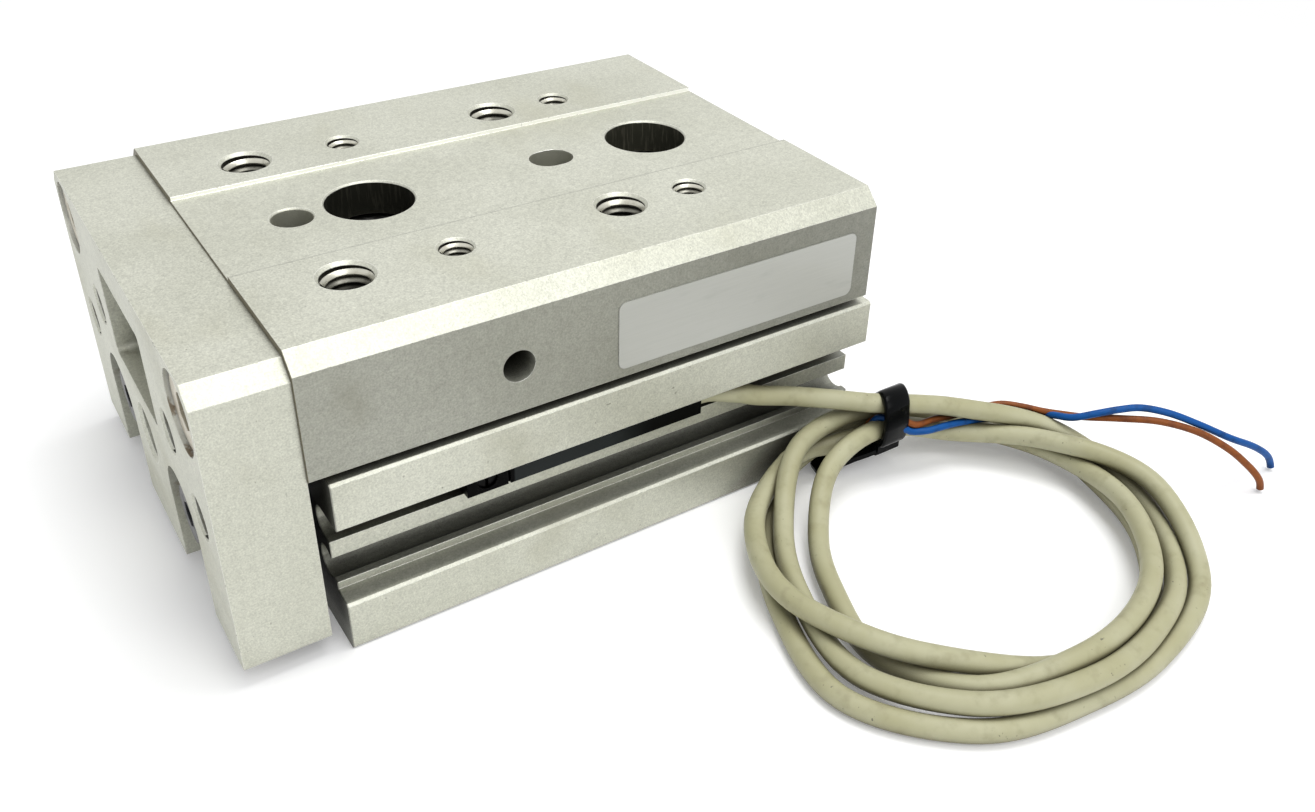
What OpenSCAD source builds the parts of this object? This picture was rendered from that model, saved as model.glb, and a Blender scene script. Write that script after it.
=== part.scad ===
// Pneumatic slide table: a twin-rod air cylinder whose body carries a table on crossed rollers.
// +X is the way the table extends, +Y is the switch side and +Z is up.
// The origin is under the middle of the retracted unit, on its foot.

/* [Body] */
// Length of the cylinder body
body_l = 75; // [74:0.5:90]
// Width of the cylinder body
body_w = 62; // [60:0.5:70]
// Height of the foot flange on the switch side
foot_h = 6.7; // [6:0.1:7.5]
// Rise of the sloping shelf behind the foot flange
shelf_rise = 0.4; // [0.2:0.1:0.8]
// Depth of the shelf behind the side face
shelf_d = 2.7; // [2:0.1:3]
// Thickness of the small ledge above the shelf
ledge_t = 1; // [0.6:0.1:1.5]
// Mouth of the spare round groove
groove_mouth = 3; // [2.4:0.1:3.4]
// Diameter of the spare round groove
groove_d = 4.2; // [3.8:0.1:4.6]
// Thickness of the lip between the two grooves
lip_t = 2.3; // [1.6:0.1:3]
// Distance of the lip behind the side face
lip_inset = 3.5; // [3.2:0.1:4]
// Height of the switch slot
slot_h = 4.1; // [4:0.1:4.6]
// Depth of the switch slot behind the side face
slot_d = 6.85; // [6.7:0.05:7.2]
// Thickness of the top flange
flange_t = 6.2; // [5:0.1:8]
// Small chamfer on the long edges
edge_break = 0.3; // [0.1:0.1:0.5]
// Wall in front of the cylinder bores
front_wall = 12; // [11.5:0.5:13]

/* [Table] */
// Step from the body's rear in to the table's rear
table_rear_step = 1; // [0:0.5:3]
// Step from the body's side in to the table's side
table_side_step = 0.1; // [0:0.1:1]
// Height of the guide's space between the body and the table's roof
guide_space = 11.3; // [11:0.1:13]
// Clearance between the body's top and the table's walls
table_gap = 1; // [0.6:0.1:1.6]
// Chamfer along the table's top edges
table_chamfer = 2.1; // [1:0.1:3]
// Thickness of the table over the guide
roof_t = 5; // [4.5:0.1:6]
// Width of the shallow channel along the top
channel_w = 23; // [20:0.5:26]
// Depth of the shallow channel
channel_d = 0.5; // [0.2:0.1:1]
// Distance of the first large threads behind the table's front
large_inset = 11; // [9:0.5:12]
// Pitch of the large threads and dowel holes along the table
large_pitch = 35; // [33:0.5:38]
// Distance of the first small threads behind the table's front
small_inset = 24; // [22.5:0.5:26]
// Pitch of the small threads along the table
small_pitch = 32; // [31:0.5:36]
// Pitch of both sets of threads across the table
cross_pitch = 35; // [34.6:0.2:40]
// Diameter of the large threads
large_d = 6; // [5:0.5:6]
// Depth of the large threads
large_depth = 9; // [7:0.5:10]
// Diameter of the small threads
small_d = 4; // [3:0.5:4]
// Depth of the small threads
small_depth = 6; // [5:0.5:6.5]
// Diameter of the dowel holes
dowel_d = 5; // [4:0.5:6]
// Extra length of the second dowel hole
dowel_slot = 1; // [0.5:0.1:1.5]
// Diameter of the access holes over the body's screws
access_d = 11; // [10:0.5:12]

/* [End plate] */
// Thickness of the end plate
plate_t = 10; // [9.5:0.5:12]
// Step from the body's side in to the end plate's side
plate_side_step = 0.5; // [0.1:0.1:1.5]
// Clearance under the end plate
plate_lift = 2.6; // [2:0.1:4]
// Step from the table top down to the end plate's top
plate_step = 0.8; // [0:0.1:1]
// Chamfer along the end plate's top edges
plate_chamfer = 2; // [1:0.1:2.5]
// Gap between the end plate and the body when retracted
rest_gap = 2; // [1.5:0.1:3]
// Width of the arched recess over each rod
arch_w = 12; // [11:0.5:12.5]
// Depth of the arched recesses
arch_d = 5.5; // [5.3:0.1:6]
// Width of the middle pocket
pocket_w = 19; // [15:0.5:21]
// Height of the middle pocket
pocket_h = 12; // [8:0.1:13]
// Top of the middle pocket below the plate's top
pocket_drop = 4.7; // [3.5:0.1:6]
// Depth of the middle pocket
pocket_d = 7; // [5:0.5:8]
// Corner radius of the middle pocket
pocket_r = 0.8; // [0.5:0.1:2]
// Distance of the plate screws from the middle plane
plate_screw_y = 25.2; // [23.5:0.1:25.5]
// Distance of the plate screws below the plate's top
plate_screw_drop = 5.2; // [5:0.1:6]

/* [Cylinders] */
// Stroke of the table
stroke = 20; // [15:0.5:21]
// Bore of each cylinder
bore_d = 16; // [15:0.1:16.4]
// Distance of each bore from the middle plane
bore_y = 14; // [13.8:0.1:14.2]
// Height of the bores above the foot
bore_z = 13; // [12:0.1:13]
// Diameter of the rods
rod_d = 6; // [5:0.5:7]
// Length of the pistons
piston_l = 20; // [18:0.5:21]
// Thickness of the end bumpers
bumper_t = 2; // [1.5:0.1:2.5]
// Depth of the head caps' rings behind the body's rear face
cap_recess = 3.2; // [2:0.1:4]
// Length of the head cap's flange
cap_l = 5; // [4:0.1:5.5]
// Diameter of the rod gland's bore
gland_d = 12; // [11:0.5:13]

/* [Guide] */
// Diameter of the crossed rollers
roller_d = 3; // [2.6:0.1:3.2]
// Rollers in each cage
roller_count = 10; // [6:2:10]
// Pitch of the rollers
roller_pitch = 4.4; // [4:0.1:4.6]
// Distance of each roller row from the middle plane
row_y = 9; // [8.8:0.1:9.2]
// Gap between the guide and the rails
race_gap = 1; // [0.9:0.05:1.2]
// Height of the rails
rail_h = 8; // [7:0.1:8.2]
// Thickness of the rails
rail_t = 4; // [3.5:0.1:4.4]
// Distance of the rails from the table's rear
rail_rear_inset = 2.5; // [1:0.5:6]
// Distance of the rails behind the table's front
rail_inset = 1.5; // [1:0.1:2]
// Step from each end of the body in to the guide's end
guide_end_step = 2.5; // [2:0.5:3]
// Depth of the guide's seat in the body
seat_d = 0.7; // [0.4:0.1:1]
// Length of the cages
cage_l = 46; // [44:0.5:46]
// Thickness of the cages
cage_t = 0.6; // [0.4:0.05:0.7]

/* [Fasteners] */
// Distance of the first body screw behind the body's front
mount_inset = 18.7; // [18.5:0.1:20]
// Distance of the second body screw from the body's rear
mount_rear_inset = 16.3; // [16:0.1:18]
// Distance of the first guide screw behind the body's front
guide_screw_inset = 9; // [8:0.5:9.5]
// Distance of the last guide screw from the guide's rear end
guide_screw_rear_inset = 4.1; // [4:0.1:5]
// Diameter of the preload screws in the table's side
preload_d = 4; // [3:0.5:4]
// Distance of the first preload screw behind the table's front
preload_inset = 24.7; // [24:0.1:26]
// Pitch of the preload screws
preload_pitch = 26.6; // [26:0.1:30]
// Diameter of the air ports
port_d = 5; // [4:0.5:5]

/* [Switch] */
// Length of the switch
switch_l = 33; // [28:0.5:36]
// Distance of the switch behind the body's front
switch_inset = 16.3; // [10:0.1:18]
// Diameter of the switch's lead
lead_d = 2.7; // [2.5:0.1:3]

/* [Hidden] */
$fn = 48;

// Clearances
run_gap = 0.05; // between a sliding piece and its bore
seat_gap = 0.05; // between a fixed round piece and its bore
end_gap = 0.3; // between a piston and its bumper at each end of the stroke
guide_gap = 0.7; // between the guide's top and the table
cut = 1; // how far a cutter passes a face
sides = [-1, 1];

// Stations along X
total_l = plate_t + rest_gap + body_l;
front_x = total_l / 2;
plate_x = front_x - plate_t;
body_x = plate_x - rest_gap;
back_x = body_x - body_l;
half_w = body_w / 2;
table_half_w = half_w - table_side_step;
plate_half_w = half_w - plate_side_step;
table_l = rest_gap + body_l - table_rear_step;

// Heights of the body's side, from the foot up
ledge_z = foot_h + shelf_rise;
groove_z = ledge_z + ledge_t;
lip_z = groove_z + groove_mouth;
slot_z = lip_z + lip_t;
flange_z = slot_z + slot_h;
body_h = flange_z + flange_t;
wall_z = body_h + table_gap;
slot_y = half_w - slot_d + slot_h / 2;
groove_neck = 0.2; // depth of the round groove's straight mouth
groove_y = half_w - lip_inset - groove_neck - sqrt(pow(groove_d, 2) - pow(groove_mouth, 2)) / 2;

// Guide: each roller row runs in a square channel that stands on its corner
roof_z = body_h + guide_space;
table_h = roof_z + roof_t;
race_z = roof_z - rail_h / 2;
race_side = roller_d + 2 * run_gap;
guide_half = row_y - race_gap / 2;
rail_y = row_y + race_gap / 2;
rail_back = rail_y + rail_t;
guide_top = roof_z - guide_gap;
guide_base = body_h - seat_d;
guide_x = body_x - guide_end_step;
guide_l = body_l - 2 * guide_end_step;
guide_screw_pitch = (body_l - guide_end_step - guide_screw_inset - guide_screw_rear_inset) / 2;
rail_x = plate_x - rail_inset;
rail_l = table_l - rail_inset - rail_rear_inset;
cage_x = (guide_x - guide_l / 2 + rail_x - rail_l / 2) / 2 + cage_l / 2;
cage_h = 6;
stop_t = 1.2;
stop_screw_y = 5;
pocket_gap = 0.05;

// End plate
plate_top = table_h - plate_step;
web_t = plate_t - arch_d;
load_holes = [[15.8, 13.2], [24.2, 19.2]]; // distance from the middle plane, drop from the top
load_d = 5;
centre_hole_d = 7;
centre_hole_drop = 23.2;
plate_screw_z = plate_top - plate_screw_drop;
plate_screw_gap = 0.45; // round the screws' heads
head_sink = 0.5; // of the screws' heads below the plate's face
plate_thread_l = 13;
plate_screw_bite = 10; // length of the plate screws in the table

// Cylinder stack, each station measured behind the body's front
gland_ring_in = 1;
ring_t = 1;
support_t = 2.5;
rod_seal_t = 3.3;
gland_depth = gland_ring_in + ring_t + support_t + rod_seal_t;
piston_rest = front_wall + bumper_t + end_gap + stroke;
head_bumper_in = piston_rest + piston_l + end_gap;
nose_in = head_bumper_in + bumper_t;
cap_ring_t = 1.2;
cap_ring_in = body_l - cap_recess - cap_ring_t;
cap_in = cap_ring_in - cap_l;
nose_l = cap_in - nose_in;
bore_r = bore_d / 2;
piston_r = bore_r - 2 * run_gap;
rod_r = rod_d / 2;
gland_r = gland_d / 2;
bumper_r = 5.5;
passage_d = 2;
port_depth = 6;
port_ins = [front_wall + bumper_t / 2, cap_in - passage_d / 2 - 0.4];
stud_r = 2;
nut_w = 7;
nut_h = 3;
rod_screw_l = 6;
float_gap = 0.05;
bush_r = 3.7;
bush_flange_r = 4.8;
bush_flange_t = 1;
piston_groove = 2; // depth of the piston's two grooves
piston_seal_in = 3;
piston_seal_t = 2.2;
magnet_in = 9;
magnet_t = 4;

// Screws: diameter, head diameter, head height, key width
m5 = [5, 8.5, 5, 4];
m4 = [4, 7, 4, 3];
mount_clear_d = 5.5;
mount_head_d = 9.5;
mount_head_h = 5.5;
mount_thread_d = 6;
mount_thread_l = 10;
mount_ins = [mount_inset, body_l - mount_rear_inset];
preload_ins = [preload_inset, preload_inset + preload_pitch];
preload_l = 8;

// Switch and its rating plate
switch_w = 3.6;
switch_body_d = 4.6;
switch_nose_l = 5.3;
label_l = 35.5;
label_h = 9;
label_t = 0.1;
label_rear_inset = 3;
label_z = 26.1;
label_r = 1;

// The switch's lead, from the switch to the tie, and the two bare-ended wires beyond it
lead_route = [
    [-17.8, 27.1, 15.4], [-18.6, 27.1, 15.4], [-19.8, 27.3, 15.4], [-21, 27.8, 15.3], [-22.4, 28.5, 15.1],
    [-24.4, 29.3, 14.7], [-26.8, 30, 14.1], [-29.3, 30.8, 13.4], [-33.3, 32.3, 12.3], [-37.3, 34, 11],
    [-40, 35.1, 10.1], [-41.4, 35.6, 9.6], [-42.4, 35.8, 9.3]
];
brown_route = [
    [-48.2, 37.5, 7.4], [-50, 38.6, 7.3], [-52.5, 39.4, 7.2], [-55, 40.1, 7.4], [-57.6, 40.7, 7.4],
    [-61, 43.5, 7.3], [-63.6, 46.4, 7.6], [-65, 49, 8.1], [-66.4, 51, 8.5], [-69.8, 54.7, 9.2],
    [-73.5, 58.3, 9.5], [-77.3, 61.8, 8.5], [-80.4, 65, 6.5], [-82.4, 67.2, 4.4], [-83.6, 68.4, 2.8],
    [-84.3, 68.8, 1.6], [-84.5, 69, 0.6]
];
blue_route = [
    [-48.2, 37.7, 6.2], [-50, 39.6, 6.3], [-52.5, 40.7, 6.6], [-55, 41.3, 6.9], [-57.4, 42.3, 7.3],
    [-60, 44, 8.2], [-61.6, 46, 8.6], [-62.5, 48.4, 8.6], [-63.3, 50.3, 9], [-65, 51.9, 9.6],
    [-68.6, 53.8, 10.4], [-71.9, 55.9, 10.9], [-74.9, 58.6, 10.5], [-78.3, 61.4, 9], [-82.2, 63.9, 6.9],
    [-86, 65.4, 5], [-88.6, 66.2, 3.2], [-89.9, 66.5, 1.7], [-90.2, 66.8, 0.6]
];
wire_d = 1;
coil_x = -38.2;
coil_far_y = 83.6;
coil_r = 25.7;
coil_reach = 4.4;
coil_hole_r = 19;
coil_hole_reach = 1.2;
coil_t = 5;
coil_tilt = 4.6;
tie_at = [-45.3, 35.75, 2.25];
tie_w = 4.6;
tie_t = 1.1;
tie_inside = [5.4, 7.4];
tie_slack = 0.1;
tie_tail = [9.4, 2.8, 1];

// Round bar between two stations along an axis
module bar_x(x0, x1, y, z, r) {
    translate([x0, y, z]) rotate([0, 90, 0]) cylinder(h = x1 - x0, r = r);
}
module bar_y(x, y0, y1, z, r) {
    translate([x, y0, z]) rotate([-90, 0, 0]) cylinder(h = y1 - y0, r = r);
}
module bar_z(x, y, z0, z1, r) {
    translate([x, y, z0]) cylinder(h = z1 - z0, r = r);
}
// Extrusion of a Y-Z outline between two stations along X
module section_x(x0, x1) {
    translate([x0, 0, 0]) rotate([90, 0, 90]) linear_extrude(x1 - x0) children();
}
// Turned piece: an outline of [radius, station] revolved about X, stations running to the rear
module turned(x, y, z) {
    translate([x, y, z]) rotate([0, -90, 0]) rotate_extrude() children();
}
module ring(r_in, r_out, t) {
    translate([r_in, 0]) square([r_out - r_in, t]);
}
// Countersink that opens upwards to radius r + c
module countersink(r, c) {
    translate([0, 0, -c]) cylinder(h = c + cut, r1 = r, r2 = r + c + cut);
}
// Socket-head screw: its head stands on z = 0 and its shank hangs below
module socket_screw(size, shank_l) {
    difference() {
        union() {
            cylinder(h = size[2], d = size[1]);
            translate([0, 0, -shank_l]) cylinder(h = shank_l, d = size[0] - 2 * seat_gap);
        }
        translate([0, 0, size[2] / 2]) cylinder(h = size[2], r = size[3] / sqrt(3), $fn = 6);
    }
}
// Stadium outline along X with its round ends' centres at +-reach
module stadium(r, reach) {
    square([2 * reach, 2 * r], center = true);
    for (s = sides) translate([s * reach, 0]) circle(r);
}
// Internal circlip in the plane z = 0 to t, with its gap and eyes at the bottom
module circlip(r, t) {
    eye_r = 1.5;
    band = 1.1;
    linear_extrude(t) difference() {
        union() {
            difference() {
                circle(r);
                circle(r - band);
                translate([-1.4, -r - cut]) square([2.8, r]);
            }
            for (s = sides) rotate(s * 18) translate([0, -(r - eye_r)]) circle(eye_r);
        }
        for (s = sides) rotate(s * 18) translate([0, -(r - eye_r)]) circle(0.6);
    }
}

// Cylinder body -------------------------------------------------------------------------------

module body_outline() {
    e = edge_break;
    lip_y = half_w - lip_inset;
    difference() {
        polygon([
            [-half_w + e, 0], [half_w - e, 0], [half_w, e], [half_w, foot_h - e], [half_w - e, foot_h],
            [half_w - shelf_d, ledge_z], [half_w - shelf_d, groove_z], [lip_y, groove_z], [lip_y, flange_z],
            [half_w, flange_z], [half_w, body_h - e], [half_w - e, body_h],
            [-half_w + e, body_h], [-half_w, body_h - e], [-half_w, e]
        ]);
        translate([groove_y, groove_z + groove_mouth / 2]) {
            circle(d = groove_d);
            translate([0, -groove_mouth / 2]) square([slot_d, groove_mouth]);
        }
        translate([slot_y, slot_z + slot_h / 2]) {
            circle(d = slot_h);
            translate([0, -slot_h / 2]) square([slot_d, slot_h]);
        }
    }
}
module cylinder_bores() {
    for (s = sides) {
        y = s * bore_y;
        bar_x(back_x - cut, body_x - front_wall, y, bore_z, bore_r);
        bar_x(body_x - front_wall - cut, body_x + cut, y, bore_z, rod_r + 0.3);
        bar_x(body_x - gland_depth, body_x + cut, y, bore_z, gland_r);
        ring_x = body_x - gland_ring_in;
        bar_x(ring_x - ring_t, ring_x, y, bore_z, gland_r + 0.5);
        cap_x = body_x - cap_ring_in;
        bar_x(cap_x - cap_ring_t, cap_x, y, bore_z, bore_r + 0.5);
    }
}
module air_ports() {
    for (i = port_ins) {
        x = body_x - i;
        bar_y(x, -half_w, bore_y, bore_z, passage_d / 2);
        bar_y(x, -half_w - cut, -half_w + port_depth, bore_z, port_d / 2);
        bar_y(x, -half_w - cut, -half_w + 0.4, bore_z, 4.5);
    }
}
module body_holes() {
    for (i = mount_ins) {
        bar_z(body_x - i, 0, -cut, body_h + cut, mount_clear_d / 2);
        bar_z(body_x - i, 0, -cut, mount_thread_l, mount_thread_d / 2);
    }
    for (k = [0:2]) bar_z(body_x - guide_screw_inset - k * guide_screw_pitch, 0, guide_base - 8, body_h + cut, 2);
    bar_z(body_x - guide_screw_inset, 0, -cut, 5, dowel_d / 2);
    translate([body_x - guide_screw_inset - guide_screw_pitch, 0, -cut])
        linear_extrude(5 + cut) stadium(dowel_d / 2, dowel_slot / 2);
}
module cylinder_body() {
    color([0.80, 0.80, 0.77]) difference() {
        section_x(back_x, body_x) body_outline();
        translate([guide_x - guide_l, -guide_half - seat_gap, guide_base])
            cube([guide_l, 2 * (guide_half + seat_gap), seat_d + cut]);
        cylinder_bores();
        air_ports();
        body_holes();
    }
}

// Crossed-roller guide ------------------------------------------------------------------------

// Square channel on its corner, cut along one roller row
module race(side) {
    translate([side * row_y, race_z]) rotate(45) square(race_side, center = true);
}
module guide_block() {
    color([0.62, 0.62, 0.62]) difference() {
        section_x(guide_x - guide_l, guide_x) difference() {
            translate([-guide_half, guide_base]) square([2 * guide_half, guide_top - guide_base]);
            for (s = sides) race(s);
        }
        for (i = mount_ins) {
            bar_z(body_x - i, 0, guide_base - cut, guide_top, mount_clear_d / 2);
            bar_z(body_x - i, 0, guide_top - mount_head_h, guide_top + cut, mount_head_d / 2);
        }
        for (k = [0:2]) {
            x = body_x - guide_screw_inset - k * guide_screw_pitch;
            bar_z(x, 0, guide_base - cut, guide_top, 2.2);
            bar_z(x, 0, guide_top - m4[2] - 0.2, guide_top + cut, m4[1] / 2 + 0.25);
        }
        for (x = [guide_x - 4, guide_x - guide_l - cut], s = sides)
            bar_x(x, x + 4 + cut, s * stop_screw_y, race_z, 1);
    }
}
module guide_screws() {
    color([0.55, 0.55, 0.55]) for (k = [0:2])
        translate([body_x - guide_screw_inset - k * guide_screw_pitch, 0, guide_top - m4[2] - 0.2])
            socket_screw(m4, guide_top - m4[2] - guide_base + 6);
}
module cage_stops() {
    stop_half = row_y + 0.2;
    color([0.7, 0.7, 0.7]) for (x = [guide_x, guide_x - guide_l - stop_t]) difference() {
        translate([x, -stop_half, race_z - cage_h / 2]) cube([stop_t, 2 * stop_half, cage_h]);
        for (s = sides) bar_x(x - cut, x + stop_t + cut, s * stop_screw_y, race_z, 1.1);
    }
}
module cage_stop_screws() {
    color([0.35, 0.35, 0.35]) for (end = [0, 1], s = sides)
        translate([guide_x - end * guide_l, s * stop_screw_y, race_z]) mirror([end, 0, 0]) {
            bar_x(-3, stop_t, 0, 0, 1 - seat_gap);
            bar_x(stop_t, stop_t + 0.6, 0, 0, 1.8);
        }
}
module roller_cages() {
    color([0.25, 0.28, 0.30]) for (s = sides) difference() {
        translate([cage_x - cage_l, s * row_y - cage_t / 2, race_z - cage_h / 2]) cube([cage_l, cage_t, cage_h]);
        for (k = [0:roller_count - 1])
            translate([roller_x(k), s * row_y, race_z])
                cube([roller_d + 2 * pocket_gap, cage_t + cut, roller_d * sqrt(2)], center = true);
    }
}
function roller_x(k) = cage_x - cage_l / 2 + (k - (roller_count - 1) / 2) * roller_pitch;
module cross_rollers() {
    color([0.8, 0.8, 0.8]) for (s = sides, k = [0:roller_count - 1])
        translate([roller_x(k), s * row_y, race_z]) rotate([k % 2 == 0 ? 45 : -45, 0, 0])
            cylinder(h = roller_d - 0.2, d = roller_d, center = true, $fn = 24);
}

// Cylinder pieces fixed in the body ------------------------------------------------------------

module gland_rings() {
    color([0.4, 0.4, 0.4]) for (s = sides)
        translate([body_x - gland_ring_in - ring_t, s * bore_y, bore_z]) rotate([90, 0, 90])
            circlip(gland_r + 0.4, ring_t);
}
module seal_supports() {
    color([0.78, 0.62, 0.30]) for (s = sides)
        turned(body_x - gland_ring_in - ring_t, s * bore_y, bore_z)
            ring(rod_r + run_gap, gland_r - seat_gap, support_t);
}
module rod_seals() {
    color([0.12, 0.12, 0.12]) for (s = sides)
        turned(body_x - gland_ring_in - ring_t - support_t, s * bore_y, bore_z)
            ring(rod_r + run_gap, gland_r - seat_gap, rod_seal_t);
}
module rod_bumpers() {
    color([0.85, 0.75, 0.45]) for (s = sides)
        turned(body_x - front_wall, s * bore_y, bore_z) ring(rod_r + 0.4, bumper_r, bumper_t);
}
module head_bumpers() {
    color([0.85, 0.75, 0.45]) for (s = sides)
        turned(body_x - head_bumper_in, s * bore_y, bore_z) ring(nut_w / 2 + 0.6, bumper_r, bumper_t);
}
module head_caps() {
    r = bore_r - seat_gap;
    color([0.72, 0.72, 0.70]) for (s = sides)
        turned(body_x - nose_in, s * bore_y, bore_z) polygon([
            [0, 0], [bumper_r, 0], [bumper_r, nose_l], [r, nose_l],
            [r, nose_l + 1.4], [r - 1.5, nose_l + 1.4], [r - 1.5, nose_l + 3.2], [r, nose_l + 3.2],
            [r, nose_l + cap_l], [3, nose_l + cap_l], [3, nose_l + cap_l - 1.5], [0, nose_l + cap_l - 1.5]
        ]);
}
module cap_seals() {
    color([0.12, 0.12, 0.12]) for (s = sides)
        turned(body_x - cap_in - 2.3, s * bore_y, bore_z) translate([bore_r - run_gap - 0.7, 0]) circle(0.7);
}
module cap_rings() {
    color([0.35, 0.35, 0.35]) for (s = sides)
        translate([body_x - cap_ring_in - cap_ring_t, s * bore_y, bore_z]) rotate([90, 0, 90])
            circlip(bore_r + 0.4, cap_ring_t);
}

// Switch ---------------------------------------------------------------------------------------

module auto_switch() {
    x0 = body_x - switch_inset;
    y0 = half_w - slot_d + 0.1;
    z0 = slot_z + slot_h / 2;
    color([0.08, 0.09, 0.11]) difference() {
        section_x(x0 - switch_l, x0) intersection() {
            translate([y0 + switch_w / 2, z0]) union() {
                circle(d = switch_w);
                translate([0, -switch_w / 2]) square([switch_body_d - switch_w / 2, switch_w]);
            }
            translate([y0, z0 - switch_w / 2]) square([switch_body_d, switch_w]);
        }
        translate([x0 - switch_nose_l - 0.3, y0 + switch_body_d - 0.4, z0 - slot_h]) cube([0.3, 1, 2 * slot_h]);
        bar_y(x0 - switch_nose_l / 2, y0 + 1, y0 + switch_body_d + cut, z0, 1.3);
    }
}
module switch_screw() {
    x = body_x - switch_inset - switch_nose_l / 2;
    y0 = half_w - slot_d + 0.1;
    color([0.6, 0.6, 0.6]) difference() {
        bar_y(x, y0 + 1, y0 + switch_body_d - 0.3, slot_z + slot_h / 2, 1.25);
        translate([x - 0.2, y0 + switch_body_d - 0.9, slot_z]) cube([0.4, cut, slot_h]);
    }
}

// Table and end plate ----------------------------------------------------------------------------

module table_outline() {
    w = table_half_w;
    c = table_chamfer;
    e = edge_break;
    difference() {
        polygon([
            [w, wall_z + e], [w, table_h - c], [w - c, table_h], [channel_w / 2, table_h],
            [channel_w / 2, table_h - channel_d], [-channel_w / 2, table_h - channel_d],
            [-channel_w / 2, table_h], [-w + c, table_h], [-w, table_h - c], [-w, wall_z + e],
            [-w + e, wall_z], [w - e, wall_z]
        ]);
        translate([-rail_back, wall_z - cut]) square([2 * rail_back, roof_z - wall_z + cut]);
    }
}
function behind_table(i) = plate_x - i;
module table_threads() {
    for (i = [0, 1], s = sides) {
        translate([behind_table(large_inset + i * large_pitch), s * cross_pitch / 2, table_h]) {
            translate([0, 0, -large_depth]) cylinder(h = large_depth + cut, d = large_d);
            countersink(large_d / 2, 0.4);
        }
        translate([behind_table(small_inset + i * small_pitch), s * cross_pitch / 2, table_h]) {
            translate([0, 0, -small_depth]) cylinder(h = small_depth + cut, d = small_d);
            countersink(small_d / 2, 0.3);
        }
    }
}
module channel_holes() {
    z = table_h - channel_d;
    for (i = mount_ins) translate([body_x - i, 0, z]) {
        translate([0, 0, -roof_t]) cylinder(h = roof_t + cut, d = access_d);
        countersink(access_d / 2, 0.2);
    }
    translate([behind_table(large_inset), 0, z]) {
        translate([0, 0, -roof_t]) cylinder(h = roof_t + cut, d = dowel_d);
        countersink(dowel_d / 2, 0.2);
    }
    translate([behind_table(large_inset + large_pitch), 0, z - roof_t])
        linear_extrude(roof_t + cut) stadium(dowel_d / 2, dowel_slot / 2);
}
module table() {
    w = table_half_w;
    color([0.80, 0.80, 0.77]) difference() {
        section_x(plate_x - table_l, plate_x) table_outline();
        table_threads();
        channel_holes();
        for (i = preload_ins) bar_y(behind_table(i), rail_back - cut, w + cut, race_z, preload_d / 2);
        for (s = sides) bar_x(plate_x - plate_thread_l, plate_x + cut, s * plate_screw_y, plate_screw_z, m5[0] / 2);
        translate([plate_x - table_l + label_rear_inset, w - label_t, label_z])
            translate([0, cut, 0]) rotate([90, 0, 0]) linear_extrude(cut) label_outline();
    }
}
module rail(side) {
    color([0.66, 0.66, 0.66]) section_x(rail_x - rail_l, rail_x) difference() {
        translate([side > 0 ? rail_y : -rail_back, roof_z - rail_h]) square([rail_t, rail_h]);
        race(side);
    }
}
module near_rail() {
    rail(1);
}
module far_rail() {
    rail(-1);
}
module preload_screws() {
    color([0.3, 0.3, 0.3]) for (i = preload_ins) difference() {
        bar_y(behind_table(i), rail_back, rail_back + preload_l, race_z, preload_d / 2 - seat_gap);
        translate([behind_table(i), rail_back + preload_l - 2, race_z]) rotate([-90, 0, 0]) cylinder(h = 3, r = 1.15, $fn = 6);
    }
}
module plate_outline() {
    w = plate_half_w;
    c = plate_chamfer;
    e = edge_break;
    polygon([
        [-w + e, plate_lift], [w - e, plate_lift], [w, plate_lift + e], [w, plate_top - c], [w - c, plate_top],
        [-w + c, plate_top], [-w, plate_top - c], [-w, plate_lift + e]
    ]);
}
module pocket_outline() {
    r = pocket_r;
    translate([0, plate_top - pocket_drop - pocket_h / 2]) {
        square([pocket_w - 2 * r, pocket_h], center = true);
        square([pocket_w, pocket_h - 2 * r], center = true);
        for (s = sides, t = sides) translate([s * (pocket_w / 2 - r), t * (pocket_h / 2 - r)]) circle(r);
    }
}
module end_plate() {
    arch_r = arch_w / 2;
    color([0.80, 0.80, 0.77]) difference() {
        section_x(plate_x, front_x) plate_outline();
        section_x(front_x - pocket_d, front_x + cut) pocket_outline();
        for (s = sides) {
            y = s * bore_y;
            section_x(plate_x + web_t, front_x + cut) {
                translate([y, bore_z]) circle(arch_r);
                translate([y - arch_r, 0]) square([arch_w, bore_z]);
            }
            bar_x(plate_x - cut, front_x, y, bore_z, bush_r + 0.5);
            bar_x(plate_x - cut, front_x, s * plate_screw_y, plate_screw_z, m5[0] / 2 + 0.25);
            bar_x(front_x - m5[2] - head_sink, front_x + cut, s * plate_screw_y, plate_screw_z, m5[1] / 2 + plate_screw_gap);
            for (h = load_holes) front_hole(s * h[0], plate_top - h[1], load_d / 2, 0.3);
        }
        front_hole(0, plate_top - centre_hole_drop, centre_hole_d / 2, 0.4);
    }
}
// Through hole in the end plate with a countersunk mouth
module front_hole(y, z, r, c) {
    bar_x(plate_x - cut, front_x + cut, y, z, r);
    translate([front_x, y, z]) rotate([0, 90, 0]) countersink(r, c);
}
module plate_screws() {
    color([0.7, 0.68, 0.6]) for (s = sides)
        translate([front_x - m5[2] - head_sink, s * plate_screw_y, plate_screw_z]) rotate([0, 90, 0])
            socket_screw(m5, plate_t - m5[2] - head_sink + plate_screw_bite);
}
module label_outline() {
    translate([label_r, 0]) square([label_l - 2 * label_r, label_h]);
    translate([0, label_r]) square([label_l, label_h - 2 * label_r]);
    for (x = [label_r, label_l - label_r], y = [label_r, label_h - label_r]) translate([x, y]) circle(label_r);
}
module rating_plate() {
    color([0.86, 0.87, 0.86]) translate([plate_x - table_l + label_rear_inset, table_half_w + label_t, label_z])
        rotate([90, 0, 0]) linear_extrude(2 * label_t) label_outline();
}

// Rods and pistons, which travel with the table ---------------------------------------------------

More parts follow.
